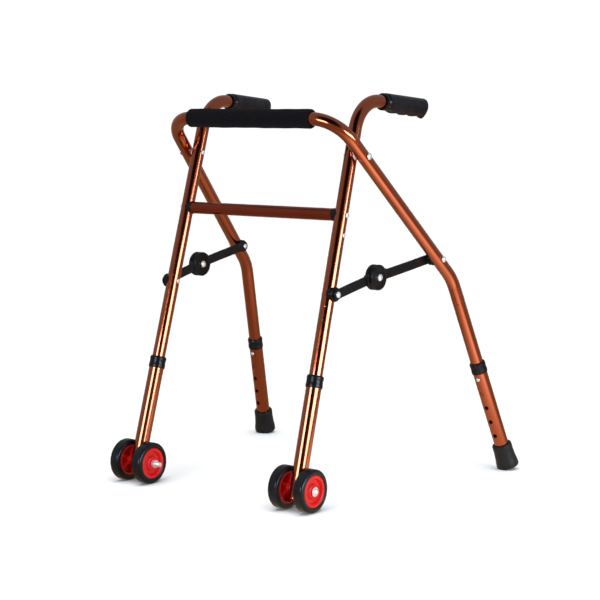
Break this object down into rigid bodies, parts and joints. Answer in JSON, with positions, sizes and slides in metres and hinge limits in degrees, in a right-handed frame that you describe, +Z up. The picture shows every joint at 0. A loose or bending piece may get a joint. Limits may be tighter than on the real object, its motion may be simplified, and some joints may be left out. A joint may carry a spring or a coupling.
{
  "type": "folding walker",
  "caption": "Folding walking frame with a padded front bar, curved handles with hand grips, telescoping legs, twin front wheels on each side and rubber rear tips.",
  "frame": {"origin": "on the floor, in the middle of the footprint", "axes": "+X towards the left hand of the user, +Y towards the user at the back, +Z up"},
  "size_m": [0.5966, 0.5308, 0.6665],
  "materials": {
    "bronze_tube": "glossy copper-bronze anodised look",
    "dark_bronze_tube": "glossy dark copper-bronze anodised look",
    "black_plastic": "satin black moulded plastic",
    "grip_plastic": "satin charcoal moulded vinyl",
    "rubber": "matt black rubber",
    "tyre": "satin black solid tyre",
    "foam": "matt black closed-cell foam",
    "steel": "bright zinc-plated",
    "hub": "glossy red moulded plastic",
    "button": "bright plated"
  },
  "bodies": {
    "front_frame": {"front_crossbar": "dark_bronze_tube", "left_front_tube": "bronze_tube", "left_hand_grip": "grip_plastic", "left_crossbar_end": "black_plastic", "left_crossbar_bolt": "steel", "left_leg_rivet": "steel", "left_pivot_bolt": "steel", "left_pivot_spacer": "steel", "left_brace_front_saddle": "black_plastic", "left_brace_front_bolt": "steel", "right_front_tube": "bronze_tube", "right_hand_grip": "grip_plastic", "right_crossbar_end": "black_plastic", "right_crossbar_bolt": "steel", "right_leg_rivet": "steel", "right_pivot_bolt": "steel", "right_pivot_spacer": "steel", "right_brace_front_saddle": "black_plastic", "right_brace_front_bolt": "steel"},
    "rear_frame": {"rear_frame_tube": "bronze_tube", "front_bar_foam_pad": "foam", "left_brace_rear_saddle": "black_plastic", "left_brace_rear_bolt": "steel", "right_brace_rear_saddle": "black_plastic", "right_brace_rear_bolt": "steel"},
    "left_brace_front_arm": {"left_brace_front_link": "black_plastic", "left_brace_centre_head_inner": "steel"},
    "left_brace_rear_arm": {"left_brace_rear_link": "black_plastic", "left_brace_centre_head_outer": "steel"},
    "left_front_leg_extension": {"left_front_sleeve": "bronze_tube", "left_front_collar": "black_plastic", "left_axle_bolt": "steel", "left_axle_nut": "steel"},
    "left_front_snap_button": {"left_front_button": "button"},
    "left_rear_leg_extension": {"left_rear_sleeve": "bronze_tube", "left_rear_collar": "black_plastic", "left_rear_tip": "rubber"},
    "left_rear_snap_button": {"left_rear_button": "button"},
    "left_outer_wheel": {"left_outer_tyre": "tyre", "left_outer_hub": "hub"},
    "left_inner_wheel": {"left_inner_tyre": "tyre", "left_inner_hub": "hub"},
    "right_brace_front_arm": {"right_brace_front_link": "black_plastic", "right_brace_centre_head_inner": "steel"},
    "right_brace_rear_arm": {"right_brace_rear_link": "black_plastic", "right_brace_centre_head_outer": "steel"},
    "right_front_leg_extension": {"right_front_sleeve": "bronze_tube", "right_front_collar": "black_plastic", "right_axle_bolt": "steel", "right_axle_nut": "steel"},
    "right_front_snap_button": {"right_front_button": "button"},
    "right_rear_leg_extension": {"right_rear_sleeve": "bronze_tube", "right_rear_collar": "black_plastic", "right_rear_tip": "rubber"},
    "right_rear_snap_button": {"right_rear_button": "button"},
    "right_outer_wheel": {"right_outer_tyre": "tyre", "right_outer_hub": "hub"},
    "right_inner_wheel": {"right_inner_tyre": "tyre", "right_inner_hub": "hub"}
  },
  "joints": [
    {"name": "rear_frame_fold", "type": "hinge", "parent": "front_frame", "child": "rear_frame", "pos_m": [0, -0.07757, 0.563], "axis": [-1, 0, 0], "range_deg": [0, 42]},
    {"name": "left_brace_front_pivot", "type": "hinge", "parent": "front_frame", "child": "left_brace_front_arm", "pos_m": [0.16952, -0.14172, 0.3409], "axis": [1, 0, 0], "range_deg": [0, 73.09]},
    {"name": "left_brace_rear_pivot", "type": "hinge", "parent": "rear_frame", "child": "left_brace_rear_arm", "pos_m": [0.22378, 0.09608, 0.3837], "axis": [-1, 0, 0], "range_deg": [0, 30.67]},
    {"name": "left_front_leg_height", "type": "slide", "parent": "front_frame", "child": "left_front_leg_extension", "axis": [-0.014, 0.2775, 0.9606], "range_m": [0, 0.1104], "deforming": ["left_front_button"]},
    {"name": "left_front_button_press", "type": "slide", "parent": "front_frame", "child": "left_front_snap_button", "axis": [-0.0041, -0.9607, 0.2775], "range_m": [0, 0.0036], "stiffness_N_per_m": 600, "springref_m": -0.002},
    {"name": "left_rear_leg_height", "type": "slide", "parent": "rear_frame", "child": "left_rear_leg_extension", "axis": [-0.1328, -0.3171, 0.9391], "range_m": [0, 0.1104], "deforming": ["left_rear_button"]},
    {"name": "left_rear_button_press", "type": "slide", "parent": "rear_frame", "child": "left_rear_snap_button", "axis": [-0.0444, 0.9484, 0.314], "range_m": [0, 0.0036], "stiffness_N_per_m": 600, "springref_m": -0.002},
    {"name": "left_outer_wheel_spin", "type": "hinge", "parent": "left_front_leg_extension", "child": "left_outer_wheel", "pos_m": [0.19928, -0.22995, 0.0355], "axis": [1, 0, 0], "continuous": true},
    {"name": "left_inner_wheel_spin", "type": "hinge", "parent": "left_front_leg_extension", "child": "left_inner_wheel", "pos_m": [0.14868, -0.22995, 0.0355], "axis": [1, 0, 0], "continuous": true},
    {"name": "right_brace_front_pivot", "type": "hinge", "parent": "front_frame", "child": "right_brace_front_arm", "pos_m": [-0.16952, -0.14172, 0.3409], "axis": [1, 0, 0], "range_deg": [0, 73.09]},
    {"name": "right_brace_rear_pivot", "type": "hinge", "parent": "rear_frame", "child": "right_brace_rear_arm", "pos_m": [-0.22378, 0.09608, 0.3837], "axis": [-1, 0, 0], "range_deg": [0, 30.67]},
    {"name": "right_front_leg_height", "type": "slide", "parent": "front_frame", "child": "right_front_leg_extension", "axis": [0.014, 0.2775, 0.9606], "range_m": [0, 0.1104], "deforming": ["right_front_button"]},
    {"name": "right_front_button_press", "type": "slide", "parent": "front_frame", "child": "right_front_snap_button", "axis": [0.0041, -0.9607, 0.2775], "range_m": [0, 0.0036], "stiffness_N_per_m": 600, "springref_m": -0.002},
    {"name": "right_rear_leg_height", "type": "slide", "parent": "rear_frame", "child": "right_rear_leg_extension", "axis": [0.1328, -0.3171, 0.9391], "range_m": [0, 0.1104], "deforming": ["right_rear_button"]},
    {"name": "right_rear_button_press", "type": "slide", "parent": "rear_frame", "child": "right_rear_snap_button", "axis": [0.0444, 0.9484, 0.314], "range_m": [0, 0.0036], "stiffness_N_per_m": 600, "springref_m": -0.002},
    {"name": "right_outer_wheel_spin", "type": "hinge", "parent": "right_front_leg_extension", "child": "right_outer_wheel", "pos_m": [-0.19928, -0.22995, 0.0355], "axis": [1, 0, 0], "continuous": true},
    {"name": "right_inner_wheel_spin", "type": "hinge", "parent": "right_front_leg_extension", "child": "right_inner_wheel", "pos_m": [-0.14868, -0.22995, 0.0355], "axis": [1, 0, 0], "continuous": true}
  ],
  "couplings": [
    {"joint": "left_brace_front_pivot", "follows": "rear_frame_fold", "ratio": 1.7283},
    {"joint": "left_brace_rear_pivot", "follows": "rear_frame_fold", "ratio": 0.7184},
    {"joint": "right_brace_front_pivot", "follows": "rear_frame_fold", "ratio": 1.7283},
    {"joint": "right_brace_rear_pivot", "follows": "rear_frame_fold", "ratio": 0.7184}
  ]
}
